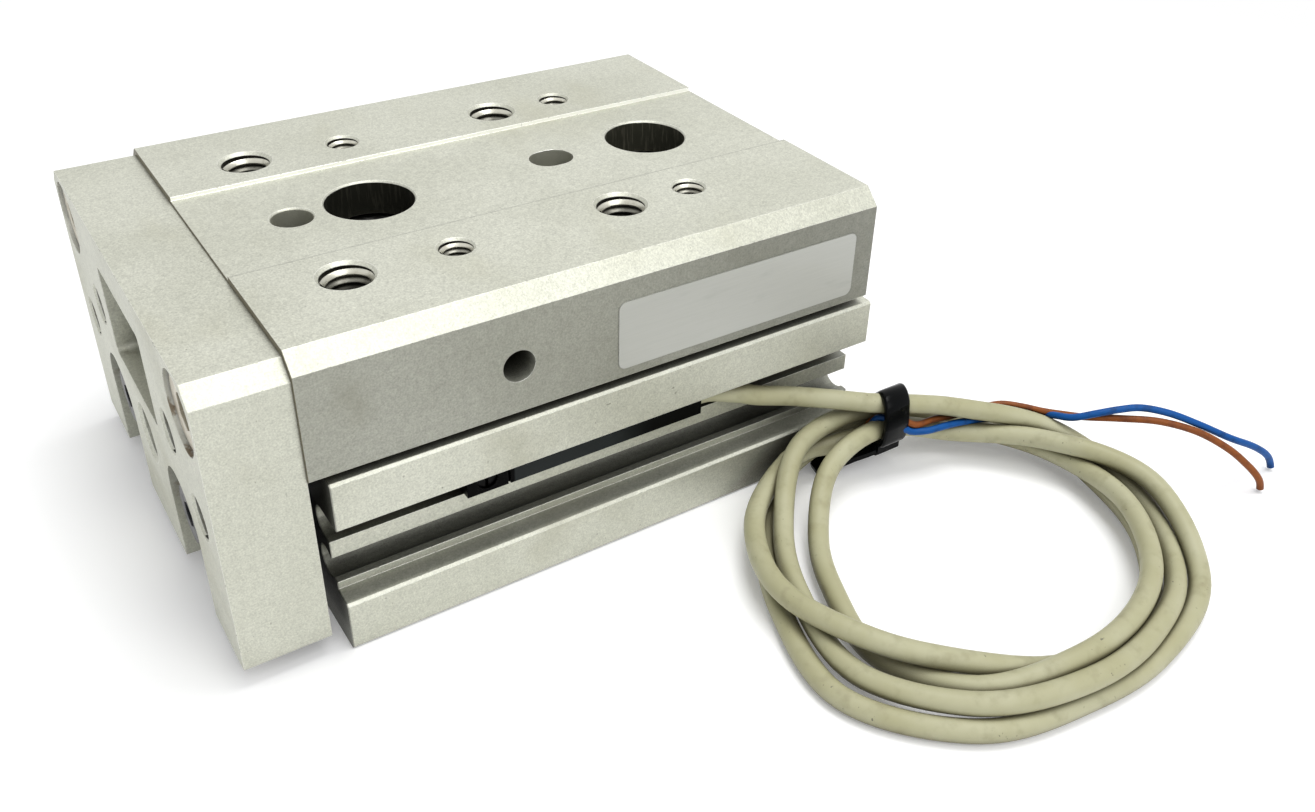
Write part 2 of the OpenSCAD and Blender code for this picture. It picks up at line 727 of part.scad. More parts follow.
module piston_rods() {
    rod_end = plate_x - float_gap;
    seat = body_x - piston_rest;
    color([0.75, 0.75, 0.76]) for (s = sides) difference() {
        union() {
            bar_x(seat, rod_end, s * bore_y, bore_z, rod_r);
            bar_x(seat - piston_l, seat, s * bore_y, bore_z, stud_r);
        }
        bar_x(rod_end - rod_screw_l - 1, rod_end + cut, s * bore_y, bore_z, m4[0] / 2);
    }
}
module pistons() {
    r = piston_r;
    color([0.70, 0.70, 0.72]) for (s = sides)
        turned(body_x - piston_rest, s * bore_y, bore_z) polygon([
            [stud_r + seat_gap, 0], [r, 0], [r, piston_seal_in], [r - piston_groove, piston_seal_in],
            [r - piston_groove, piston_seal_in + piston_seal_t], [r, piston_seal_in + piston_seal_t],
            [r, magnet_in], [r - piston_groove, magnet_in], [r - piston_groove, magnet_in + magnet_t],
            [r, magnet_in + magnet_t], [r, piston_l], [nut_w / 2 + 0.8, piston_l],
            [nut_w / 2 + 0.8, piston_l - nut_h - 0.4], [stud_r + seat_gap, piston_l - nut_h - 0.4]
        ]);
}
module piston_seals() {
    color([0.1, 0.1, 0.1]) for (s = sides)
        turned(body_x - piston_rest - piston_seal_in, s * bore_y, bore_z)
            ring(piston_r - piston_groove + run_gap, bore_r - run_gap, piston_seal_t);
}
module piston_magnets() {
    color([0.2, 0.2, 0.22]) for (s = sides)
        turned(body_x - piston_rest - magnet_in, s * bore_y, bore_z)
            ring(piston_r - piston_groove + run_gap, piston_r - 2 * seat_gap, magnet_t);
}
module piston_nuts() {
    x = body_x - piston_rest - piston_l + 0.4;
    color([0.7, 0.7, 0.7]) for (s = sides) difference() {
        translate([x, s * bore_y, bore_z]) rotate([0, 90, 0]) cylinder(h = nut_h, r = nut_w / sqrt(3), $fn = 6);
        bar_x(x - cut, x + nut_h + cut, s * bore_y, bore_z, stud_r + seat_gap);
    }
}
module floating_bushes() {
    bush_l = web_t + 2 * float_gap;
    color([0.6, 0.6, 0.62]) for (s = sides)
        turned(plate_x + web_t + float_gap + bush_flange_t, s * bore_y, bore_z) polygon([
            [m4[0] / 2 + 0.15, 0], [bush_flange_r, 0], [bush_flange_r, bush_flange_t], [bush_r, bush_flange_t],
            [bush_r, bush_flange_t + bush_l], [m4[0] / 2 + 0.15, bush_flange_t + bush_l]
        ]);
}
module rod_screws() {
    seat = plate_x + web_t + float_gap + bush_flange_t;
    color([0.35, 0.35, 0.36]) for (s = sides)
        translate([seat, s * bore_y, bore_z]) rotate([0, 90, 0])
            socket_screw([m4[0], m4[1], min(m4[2], front_x - seat - 0.2), m4[3]],
                         seat - plate_x + float_gap + rod_screw_l);
}

// Lead, coil, tie and wires ------------------------------------------------------------------------

function unit(v) = v / norm(v);
function tangent(p, i) = unit(p[min(i + 1, len(p) - 1)] - p[max(i - 1, 0)]);
function ring_at(c, t, r, n) =
    let(side = unit(cross(t, [0, 0, 1])), up = cross(side, t))
    [for (k = [0:n - 1]) c + r * (cos(360 * k / n) * side + sin(360 * k / n) * up)];
module tube(route, d) {
    n = 8;
    last = len(route) - 1;
    points = [for (i = [0:last]) each ring_at(route[i], tangent(route, i), d / 2, n)];
    walls = [
        for (i = [0:last - 1], k = [0:n - 1])
            [i * n + k, i * n + (k + 1) % n, (i + 1) * n + (k + 1) % n, (i + 1) * n + k]
    ];
    ends = [[for (k = [n - 1:-1:0]) k], [for (k = [0:n - 1]) last * n + k]];
    polyhedron(points, concat(walls, ends));
}
module switch_lead() {
    color([0.76, 0.74, 0.64]) tube(lead_route, lead_d);
}
module brown_wire() {
    color([0.55, 0.28, 0.12]) tube(brown_route, wire_d);
}
module blue_wire() {
    color([0.08, 0.25, 0.60]) tube(blue_route, wire_d);
}
module lead_coil() {
    neck_l = tie_w + 2 * tie_slack;
    neck = [tie_inside[0] - 2 * tie_slack, tie_inside[1] - 2 * tie_slack];
    color([0.76, 0.74, 0.64]) {
        difference() {
            translate([coil_x, coil_far_y, 0]) rotate([-coil_tilt, 0, 0]) translate([0, -coil_r, 0])
                linear_extrude(coil_t) difference() {
                    stadium(coil_r, coil_reach);
                    stadium(coil_hole_r, coil_hole_reach);
                }
            translate([tie_at[0], tie_at[1], coil_t]) cube([neck_l, coil_r, 4 * coil_t], center = true);
        }
        // the turns pass through the tie together
        section_x(tie_at[0] - neck_l / 2 - 0.5, tie_at[0] + neck_l / 2 + 0.5)
            translate([tie_at[1], tie_at[2] + tie_t + tie_inside[1] / 2]) square(neck, center = true);
    }
}
module cable_tie() {
    outer = [tie_inside[0] + 2 * tie_t, tie_inside[1] + 2 * tie_t];
    color([0.05, 0.05, 0.05]) translate(tie_at) {
        section_x(-tie_w / 2, tie_w / 2) translate([0, outer[1] / 2]) difference() {
            square(outer, center = true);
            square(tie_inside, center = true);
        }
        translate([tie_w / 2 - 0.4, -0.4, 0.05]) rotate([0, 0, -18]) rotate([0, 11, 0])
            translate([0, -tie_tail[1] / 2, 0]) cube(tie_tail);
    }
}

cylinder_body();
guide_block();
guide_screws();
cage_stops();
cage_stop_screws();
gland_rings();
seal_supports();
rod_seals();
rod_bumpers();
head_bumpers();
head_caps();
cap_seals();
cap_rings();
auto_switch();
switch_screw();
roller_cages();
cross_rollers();
table();
end_plate();
plate_screws();
near_rail();
far_rail();
preload_screws();
piston_rods();
pistons();
piston_seals();
piston_magnets();
piston_nuts();
floating_bushes();
rod_screws();
rating_plate();
switch_lead();
lead_coil();
cable_tie();
brown_wire();
blue_wire();
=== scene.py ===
from math import cos, pi, radians, sin, tau

import bmesh
import bpy
import numpy as np
from mathutils import Matrix, Vector


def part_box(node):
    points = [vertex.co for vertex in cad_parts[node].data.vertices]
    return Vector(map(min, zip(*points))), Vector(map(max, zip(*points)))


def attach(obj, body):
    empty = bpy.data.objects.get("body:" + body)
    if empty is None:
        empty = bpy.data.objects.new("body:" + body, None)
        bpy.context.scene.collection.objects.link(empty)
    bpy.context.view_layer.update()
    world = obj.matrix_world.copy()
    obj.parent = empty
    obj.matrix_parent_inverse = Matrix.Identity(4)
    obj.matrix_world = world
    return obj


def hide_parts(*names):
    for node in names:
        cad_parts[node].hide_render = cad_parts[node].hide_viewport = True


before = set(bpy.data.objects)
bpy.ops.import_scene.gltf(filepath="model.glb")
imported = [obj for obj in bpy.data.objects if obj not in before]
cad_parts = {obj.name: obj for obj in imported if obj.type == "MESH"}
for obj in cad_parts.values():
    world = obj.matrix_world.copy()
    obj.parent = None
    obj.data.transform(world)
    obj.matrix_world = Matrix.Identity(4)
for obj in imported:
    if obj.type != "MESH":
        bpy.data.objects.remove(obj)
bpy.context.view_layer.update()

mm = 0.001

# Camera ------------------------------------------------------------------------------------------
# A hand-held view from the front corner, a little above the unit, with the unit's front to the left
# and the coiled lead to the right.

camera = bpy.data.objects.new("camera", bpy.data.cameras.new("camera"))
camera.matrix_world = (
    Matrix.Translation(Vector((59.74, 133.77, 105.4)) * mm)
    @ Matrix.Rotation(radians(145.544), 4, "Z")
    @ Matrix.Rotation(radians(90 - 32.255), 4, "X")
    @ Matrix.Rotation(radians(1.742), 4, "Z")
)
camera.data.sensor_width = 36
camera.data.lens = 33.766
camera.data.shift_x = -0.0074
camera.data.shift_y = -0.0425
camera.data.clip_start = 5 * mm
bpy.context.scene.collection.objects.link(camera)
bpy.context.scene.camera = camera
bpy.context.scene.view_settings.view_transform = "Standard"

# Switch lead -------------------------------------------------------------------------------------
# A round 2.7 mm lead in a soft cream vinyl jacket. It leaves the rear end of the switch, comes out
# of the slot and is wound into four loose turns, which a tie holds together with the lead's end.

LEAD_D = 2.7
COIL_MIDDLE = Vector((-38.2, 57.9, 0))
TIE_BEARING = -101  # of the tie, seen from the middle of the coil
STATIONS = 12  # in each turn
lead_route = [
    (-17.8, 27.1, 15.4), (-18.6, 27.1, 15.4), (-19.8, 27.3, 15.4), (-21, 27.8, 15.3), (-22.4, 28.5, 15.1),
    (-24.2, 29.2, 14.7), (-26.1, 29.7, 14), (-29.9, 29.9, 12.7), (-31.9, 30.6, 12.3), (-35.8, 33.2, 12),
    (-40, 36.1, 11.6),
]
lead_end = [(-35.5, 34.6, 5.3), (-39, 35.9, 6)]
# a row for each turn: its distance from the middle of the coil at each station, starting at the tie
turn_reach = [
    [21.1, 22.5, 27.1, 28, 25.9, 23.9, 24.3, 25.9, 26.3, 23.1, 22.7, 24.8],
    [24.1, 25.4, 26, 24, 22.5, 21.4, 21.6, 22.9, 21.6, 18.5, 18.1, 19.7],
    [20.7, 22.4, 24.4, 28.7, 28.7, 25.4, 24.8, 27.8, 29.4, 25.6, 24.6, 26.2],
    [25.8, 28, 28.4, 25.8, 23.3, 21.1, 20.1, 20.3, 23.2, 26, 26.2, 25.6],
]
# and its height at each of them
turn_height = [
    [11.3, 8.9, 5.9, 2.7, 2.4, 3.5, 4.1, 3.5, 2.7, 2.7, 3.4, 7.1],
    [8.3, 4.2, 3.5, 4.8, 4.5, 4.7, 4.6, 2.9, 1.7, 2.1, 2.7, 6.1],
    [7.5, 4.9, 5.7, 5.5, 2.1, 1.4, 1.5, 1.4, 1.4, 1.5, 1.4, 2.4],
    [4.8, 3, 2.8, 2, 1.4, 1.4, 2, 3.7, 5.3, 5, 4.3, 4.9],
]


def coil_stations():
    """The middle of the lead at each station of each turn."""
    reaches, heights = sum(turn_reach, []), sum(turn_height, [])
    points = []
    for i, (reach, height) in enumerate(zip(reaches, heights)):
        bearing = radians(TIE_BEARING - i * 360 / STATIONS)
        points.append(COIL_MIDDLE + Vector((reach * cos(bearing), reach * sin(bearing), height)))
    return points


def smooth_line(points, step):
    """Points about a step apart on one smooth curve through the given points."""
    p = np.array(points, float)
    p = np.vstack([2 * p[0] - p[1], p, 2 * p[-1] - p[-2]])
    line = []
    for a, b, c, d in zip(p, p[1:], p[2:], p[3:]):
        n = max(2, round(np.linalg.norm(c - b) / step))
        for t in np.arange(n) / n:
            bend = 2 * a - 5 * b + 4 * c - d + t * (3 * (b - c) + d - a)
            line.append(b + 0.5 * t * (c - a + t * bend))
    return np.vstack([line, p[-2]])


def lay_apart(line, gap, floor):
    """Moves strands that would pass through each other to that gap apart, and off the floor."""
    moved = line.copy()
    run = np.concatenate([[0], np.cumsum(np.linalg.norm(np.diff(line, axis=0), axis=1))])
    other = abs(run[:, None] - run) > 3.5 * gap  # far enough along the lead to be another strand
    for _ in range(60):
        away = moved[:, None] - moved
        distance = np.linalg.norm(away, axis=2) + 1e-9
        close = (distance < gap) & other
        push = (away / distance[..., None] * ((gap - distance) * close)[..., None]).sum(1)
        moved += 0.5 * push / np.maximum(close.sum(1), 1)[:, None]
        moved[:, 2] = np.maximum(moved[:, 2], floor)
        shift = moved - line  # each point shares its shift with its neighbours
        shift[1:-1] += 0.25 * ((shift[:-2] + shift[2:]) / 2 - shift[1:-1])
        moved = line + shift
    moved[:, 2] = np.maximum(moved[:, 2], floor)
    return moved


def cord_piece(name, line, diameter, material):
    """A round cord of that diameter along a line of points, all in millimetres."""
    curve = bpy.data.curves.new(name, "CURVE")
    curve.dimensions = "3D"
    curve.bevel_depth = diameter / 2 * mm
    curve.bevel_resolution = 6
    curve.use_fill_caps = True
    spline = curve.splines.new("POLY")
    spline.points.add(len(line) - 1)
    for point, place in zip(spline.points, line):
        point.co = (*(float(v) * mm for v in place), 1)
    spline.use_smooth = True
    curve.materials.append(material)
    piece = bpy.data.objects.new(name, curve)
    bpy.context.scene.collection.objects.link(piece)
    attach(piece, "base")
    return piece


class Value:
    """One output of a node; arithmetic on it adds Math nodes."""

    def __init__(self, nodes, socket):
        self.nodes = nodes
        self.socket = socket

    def math(self, operation, first, second):
        return self.nodes.node("ShaderNodeMath", dict(operation=operation), {0: first, 1: second})

    def __add__(self, other):
        return self.math("ADD", self, other)

    def __sub__(self, other):
        return self.math("SUBTRACT", self, other)

    def __rsub__(self, other):
        return self.math("SUBTRACT", other, self)

    def __mul__(self, other):
        return self.math("MULTIPLY", self, other)

    __radd__ = __add__
    __rmul__ = __mul__

    def __abs__(self):
        return self.nodes.node("ShaderNodeMath", dict(operation="ABSOLUTE"), {0: self})

    def between(self, low, high):
        """0 below low, 1 above high and smooth in between."""
        settings = dict(interpolation_type="SMOOTHSTEP")
        return self.nodes.node("ShaderNodeMapRange", settings, {"Value": self, 1: low, 2: high})


class Nodes:
    """A node tree; node() adds any kind of node to it."""

    def __init__(self, tree):
        self.tree = tree

    def node(self, kind, settings=(), sockets=(), output=0):
        made = self.tree.nodes.new(kind)
        for name, setting in dict(settings).items():
            setattr(made, name, setting)
        for name, value in dict(sockets).items():
            self.set(made.inputs[name], value)
        return Value(self, made.outputs[output])

    def set(self, socket, value):
        if isinstance(value, Value):
            self.tree.links.new(value.socket, socket)
        else:
            socket.default_value = value

    def vector(self, operation, first, second, output=0):
        return self.node("ShaderNodeVectorMath", dict(operation=operation), {0: first, 1: second}, output)


class Finish(Nodes):
    """A material. What is the same all over is set on the shader's own sockets by its name."""

    def __init__(self, name, **constants):
        self.material = bpy.data.materials.new(name)
        self.material.use_nodes = True
        super().__init__(self.material.node_tree)
        self.shader = self.tree.nodes["Principled BSDF"]
        for socket, constant in constants.items():
            self.shader.inputs[socket.replace("_", " ")].default_value = constant
        self.place = self.node("ShaderNodeTexCoord", output="Object")

    def mix(self, base, other, share):
        """Two colours mixed, from base at 0 to other at 1."""
        base, other = (c if isinstance(c, Value) else (*c, 1) for c in (base, other))
        return self.node("ShaderNodeMix", dict(data_type="RGBA"), {0: share, 6: base, 7: other}, output=2)

    def noise(self, size, detail=3.0, stretch=(1, 1, 1), roughness=0.5):
        """Noise from 0 to 1 with features of about that size, longer along an axis that is stretched."""
        vector = self.vector("MULTIPLY", self.place, tuple(1 / (size * s) for s in stretch))
        sockets = {"Vector": vector, "Scale": 1.0, "Detail": detail, "Roughness": roughness}
        return self.node("ShaderNodeTexNoise", {}, sockets)

    def openness(self, reach):
        """1 in the open and 0 deep in a hole or corner no wider than that reach."""
        return self.node("ShaderNodeAmbientOcclusion", dict(samples=8), {"Distance": reach}, "AO")

    def feed(self, colour=None, roughness=None, metallic=None, height=None, depth=0.0, normal=None):
        """Joins what varies to the shader; height is a relief of that depth in metres."""
        for name, value in (("Base Color", colour), ("Roughness", roughness), ("Metallic", metallic)):
            if value is not None:
                self.set(self.shader.inputs[name], value)
        if height is not None:
            sockets = {"Height": height, "Distance": depth, "Strength": 1.0}
            if normal is not None:
                sockets["Normal"] = normal
            normal = self.node("ShaderNodeBump", {}, sockets)
        if normal is not None:
            self.set(self.shader.inputs["Normal"], normal)
        return self.material


def lead_jacket():
    """Matt vinyl that has gone a little green-grey, with grime, painted shade in its folds and a few dark
    specks.
    """
    f = Finish("lead_jacket", Specular_IOR_Level=0.3)
    broad = f.noise(9 * mm)
    grime = f.noise(2.2 * mm, detail=5).between(0.5, 0.8)
    specks = f.noise(0.45 * mm, detail=1).between(0.7, 0.78) * f.noise(7 * mm).between(0.52, 0.62)
    # painted shade: darker where the strands of the coil crowd together and shade each other
    painted_fold_shade = 1 - f.openness(5 * mm).between(0.25, 0.85)
    colour = f.mix((0.46, 0.45, 0.3), (0.39, 0.375, 0.225), broad.between(0.3, 0.7))
    colour = f.mix(colour, (0.27, 0.25, 0.15), grime * 0.55)
    colour = f.mix(colour, (0.10, 0.088, 0.045), painted_fold_shade * 0.8)
    colour = f.mix(colour, (0.07, 0.065, 0.055), specks * 0.75)
    grain = f.noise(0.12 * mm)
    return f.feed(colour, 0.36 + 0.2 * grain + 0.1 * grime, height=grain, depth=0.006 * mm)


lead_line = smooth_line(lead_route + coil_stations() + lead_end, 2.4)
loose = slice(9, -3)  # all but the ends, which the switch and the tie hold
clearance = 0.02
lead_line[loose] = lay_apart(lead_line[loose], LEAD_D + clearance, LEAD_D / 2 + clearance)
drawn_line = smooth_line(lead_line, 1.1)
switch_lead = cord_piece("coiled_lead", drawn_line, LEAD_D, lead_jacket())
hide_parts("switch_lead", "lead_coil")

# Wires -------------------------------------------------------------------------------------------
# The lead's two insulated conductors, brown and blue. They come out of the cut end of the jacket
# just before the tie, pass through it and under the first turn, and stand out behind the coil to
# their own cut ends.

WIRE_D = 1.0
brown_route = [
    (-39, 35.9, 6.3), (-40.5, 35.9, 7), (-41.8, 36.3, 8.4), (-43, 37.6, 9.3), (-44, 38.6, 9.2),
    (-45, 39.6, 8.5), (-46.2, 40, 8), (-47.6, 40, 7.8), (-49.6, 39.9, 7.6), (-52.4, 40.1, 7.2),
    (-55.2, 40.5, 7.2), (-58, 41, 7.2), (-60.6, 42, 7.4), (-62.5, 44.1, 7.5), (-63.9, 46.6, 7.7),
    (-65.3, 49, 8.1), (-66.7, 51.4, 8.6), (-69.8, 54.7, 9.2), (-73.5, 58.3, 9.5), (-77.3, 61.8, 8.5),
    (-80.4, 65, 6.5), (-82.4, 67.2, 4.4), (-83.6, 68.4, 2.8), (-84.3, 68.8, 1.6), (-84.5, 69, 0.6),
]
blue_route = [
    (-39, 36, 5.7), (-40.4, 36.1, 6.1), (-41.6, 37, 9), (-42.9, 38.8, 9.1), (-43.9, 39.7, 8.2),
    (-45, 40.1, 7.4), (-46.3, 40.6, 7.2), (-47.6, 41.1, 7.2), (-49.7, 41.4, 7.2), (-52.7, 41.6, 6.9),
    (-55.7, 42, 6.5), (-58.6, 42.8, 6.2), (-61.5, 44, 6.3), (-64, 45.9, 6.7), (-64.2, 48.2, 7.9),
    (-65, 50.7, 8.7), (-67.1, 52.7, 9.8), (-69.5, 54.4, 10.6), (-72.1, 56, 10.9), (-74.9, 58.6, 10.5),
    (-78.3, 61.4, 9), (-82.2, 63.9, 6.9), (-86, 65.4, 5), (-88.6, 66.2, 3.2), (-89.9, 66.5, 1.7),
    (-90.2, 66.8, 0.6),
]


def insulation(name, fresh, worn):
    """Thin glossy vinyl, handled dull in patches, with painted shade where a wire lies against its neighbour.
    """
    f = Finish(name, Specular_IOR_Level=0.2)
    wear = f.noise(1.4 * mm, detail=4).between(0.45, 0.75)
    grain = f.noise(0.1 * mm)
    # painted shade: darker where the wire lies close to other strands
    painted_fold_shade = 1 - f.openness(3.5 * mm).between(0.2, 0.75)
    colour = f.mix(f.mix(fresh, worn, wear), tuple(0.12 * c for c in fresh), painted_fold_shade * 0.9)
    return f.feed(colour, 0.34 + 0.2 * grain, height=grain, depth=0.004 * mm)


def insulated_wire(colour_name, route, fresh, worn):
    """One of the two wires, drawn in place of its CAD node, which it hides."""
    piece_name = colour_name + "_conductor"
    node = colour_name + "_wire"
    line = smooth_line(route, 0.6)
    wire = cord_piece(piece_name, line, WIRE_D, insulation(piece_name, fresh, worn))
    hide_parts(node)
    return line


brown_line = insulated_wire("brown", brown_route, fresh=(0.24, 0.07, 0.014), worn=(0.14, 0.04, 0.014))
blue_line = insulated_wire("blue", blue_route, fresh=(0.002, 0.075, 0.29), worn=(0.003, 0.04, 0.15))

# Cable tie ---------------------------------------------------------------------------------------
# A moulded black nylon tie, drawn tight round the strands of the lead and its two wires. Its head
# is underneath, and its ribbed tail runs back under the turns towards the floor.

TIE_X = -44
TIE_Y = 36
TIE_W = 4.3
TIE_T = 0.9
TIE_BORE = 0.01  # gap between the band and the strands
body_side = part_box("cylinder_body")[1].y / mm


def skewed(y):
    """The tie stands square to the strands, so its plane turns a little from the unit's front."""
    return TIE_X + 0.38 * (y - TIE_Y)


def crossings(line, radius):
    """Where a line crosses the tie's plane on the near side of the coil, as y, z and its radius."""
    found = []
    for a, b in zip(line, line[1:]):
        before, after = a[0] - skewed(a[1]), b[0] - skewed(b[1])
        if before * after <= 0 and a[1] < TIE_Y + 10:
            found.append((*(a + before / (before - after) * (b - a))[1:], radius))
    return found


strands = crossings(lead_line, LEAD_D / 2)
for wire_line in (brown_line, blue_line):
    strands += crossings(wire_line, WIRE_D / 2)


def round_strands(gap, points=72):
    """The outline of a band drawn round the strands, that far outside them and clear of the body."""
    nearest = body_side + (0.1 if gap > TIE_T / 2 else 0.4)
    outline = []
    for i in range(points):
        way = Vector((cos(tau * i / points), sin(tau * i / points)))
        y, z, radius = max(strands, key=lambda strand: Vector(strand[:2]).dot(way) + strand[2])
        point = Vector((y, z)) + (radius + gap) * way
        outline.append(Vector((max(point.x, nearest), point.y)))
    return outline


def band_ring(side, gap):
    """The band's outline at one place across its width, from -1 to 1."""
    return [(skewed(p.x) + side * TIE_W / 2, p.x, p.y) for p in round_strands(gap)]


def mesh_object(name, shape, material):
    """A bmesh drawn in millimetres as an object of the scene."""
    shape.transform(Matrix.Scale(mm, 4))
    mesh = bpy.data.meshes.new(name)
    shape.to_mesh(mesh)
    shape.free()
    mesh.materials.append(material)
    made = bpy.data.objects.new(name, mesh)
    bpy.context.scene.collection.objects.link(made)
    return made


def new_piece(name, shape, material, body, smooth=False):
    """A bmesh as a piece of the object that rides on a body and takes its finish from a slot."""
    bmesh.ops.recalc_face_normals(shape, faces=shape.faces)
    piece = mesh_object(name, shape, material)
    if smooth:
        piece.data.shade_smooth()
    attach(piece, body)
    return piece


def skin(shape, rings, closed=True, capped=False):
    """Faces between rings of points; closed joins each ring's ends, capped fills the outer rings."""
    rows = [[shape.verts.new(p) for p in ring] for ring in rings]
    for a, b in zip(rows, rows[1:]):
        n = len(a)
        for i in range(n if closed else n - 1):
            shape.faces.new((a[i], a[(i + 1) % n], b[(i + 1) % n], b[i]))
    if capped:
        shape.faces.new(rows[0])
        shape.faces.new(rows[-1])
    return rows


def moulded_nylon():
    """Black nylon with a fine moulded grain, scuffed dull in streaks along the band."""
    f = Finish("black_nylon", Specular_IOR_Level=0.07)
    grain = f.noise(0.15 * mm)
    scuff = f.noise(1.2 * mm, detail=4, stretch=(1, 3, 1)).between(0.55, 0.8)
    colour = f.mix((0.002, 0.0023, 0.0026), (0.007, 0.0075, 0.008), scuff)
    return f.feed(colour, 0.16 + 0.25 * scuff, height=grain + scuff, depth=0.005 * mm)


nylon = moulded_nylon()
band = bmesh.new()
# the band's rounded outside, as the place across its width and the drop from its full thickness
crown = [(-1, -0.35), (-0.93, -0.1), (-0.8, 0), (0.8, 0), (0.93, -0.1), (1, -0.35)]
outer = [band_ring(side, TIE_BORE + TIE_T + drop) for side, drop in crown]
inner = [band_ring(side, TIE_BORE) for side in (1, -1)]
rows = skin(band, outer + inner)
for a, b, c, d in zip(rows[-1], rows[-1][1:] + rows[-1][:1], rows[0][1:] + rows[0][:1], rows[0]):
    band.faces.new((a, b, c, d))
tie = new_piece("tie_band", band, nylon, "base", smooth=True)
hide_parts("cable_tie")

head = bmesh.new()
head_size = (4.6, 4, 2.6)
block = Matrix.Translation((TIE_X + 0.1, TIE_Y - 0.4, 3.9)) @ Matrix.Diagonal((*head_size, 1))
bmesh.ops.create_cube(head, size=1, matrix=block)
bmesh.ops.bevel(head, geom=head.edges[:], offset=0.35, segments=2, affect="EDGES")
tie_head = new_piece("tie_head", head, nylon, "base")

tail = bmesh.new()
tail_route = [(-42, 36.2, 3.9), (-40.4, 35.6, 3.3), (-38.6, 34.7, 2.5), (-36.4, 33.9, 1.7), (-34, 33.3, 1)]
tail_line = smooth_line(tail_route, 0.22)
rings = []
for i, (place, ahead) in enumerate(zip(tail_line, tail_line[1:])):
    run = Vector(ahead - place)
    across = run.cross(Vector((0, 0, 1))).normalized()
    upward = across.cross(run).normalized()
    half_w = 1.75 * min(1, 0.45 + 0.12 * (len(tail_line) - 2 - i))  # it narrows at its tip
    top_w = half_w - 0.35
    top = 0.5 if i % 2 else 0.34  # every other ring is a rib
    section = [(half_w, -0.4), (half_w, 0.3), (top_w, top), (-top_w, top), (-half_w, 0.3), (-half_w, -0.4)]
    rings.append([Vector(place) + y * across + z * upward for y, z in section])
skin(tail, rings, capped=True)
tie_tail = new_piece("tie_tail", tail, nylon, "base")

# Cylinder body, table and end plate --------------------------------------------------------------
# The three main parts are aluminium, finely blasted and clear anodised, so they are an even warm
# pale grey with a fine grain. Their edges are worn bright and carry a painted highlight, their
# hollows and the table's sides carry painted shade, and dirt with painted shade lies in the joint
# between the table and the end plate.

FOOT_TOP = 6.7
FLANGE_BOTTOM = 17.35
CHANNEL_HALF_W = 11.6
ACCESS_R = 5.5
DOWEL_R = 2.5
LARGE_R = 3
SMALL_R = 2
ROWS = (-17.5, 17.5)  # of threads, on either side of the channel
table_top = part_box("table")[1].z / mm
table_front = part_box("end_plate")[0].x / mm
plate_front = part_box("end_plate")[1].x / mm
plate_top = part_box("end_plate")[1].z / mm
# the holes in the table's top, as x and y
large_threads = [(table_front - inset, y) for inset in (11, 46) for y in ROWS]
small_threads = [(table_front - inset, y) for inset in (24, 56) for y in ROWS]
dowel_holes = [(table_front - inset, 0) for inset in (11, 46)]
access_holes = [(table_front - 20.7, 0), (table_front - 60.7, 0)]
# the painted shade on the access holes' walls
access_shade_tones = (0.022, 0.055)  # how pale their walls look; the rear one shows more of its screw's seat


def shade(f, base, amount):
    """A colour made lighter or darker by a factor that varies over the surface."""
    base = base if isinstance(base, Value) else (*base, 1)
    grey = f.node("ShaderNodeCombineColor", {}, {0: amount, 1: amount, 2: amount})
    settings = dict(data_type="RGBA", blend_type="MULTIPLY")
    return f.node("ShaderNodeMix", settings, {0: 1.0, 6: base, 7: grey}, output=2)


def rounding(f, radius):
    """The normal of the surface with its edges rounded to that radius."""
    return f.node("ShaderNodeBevel", dict(samples=4), {"Radius": radius})


def edge_of(f, rounded):
    """0 on the flats, rising to about 0.3 on the edges."""
    flat = f.node("ShaderNodeNewGeometry", output="Normal")
    return 1 - f.vector("DOT_PRODUCT", rounded, flat, "Value")


def along(f, axis):
    """The place along one axis, in metres."""
    return f.node("ShaderNodeSeparateXYZ", {}, {0: f.place}, "XYZ".index(axis))


def facing(f, axis):
    """How squarely the surface faces along an axis, to either side."""
    normal = f.node("ShaderNodeTexCoord", output="Normal")
    return abs(f.node("ShaderNodeSeparateXYZ", {}, {0: normal}, "XYZ".index(axis)))


def shaft(f, hole, radius, top):
    """1 inside an upright hole of the table, below its mouth."""
    mouth = along(f, "Z").between((top - 0.1) * mm, top * mm)
    centre = (hole[0] * mm, hole[1] * mm, 0)
    away = f.vector("DISTANCE", f.vector("MULTIPLY", f.place, (1, 1, 0)), centre, "Value")
    return (1 - away.between((radius + 0.02) * mm, (radius + 0.06) * mm)) * (1 - mouth)


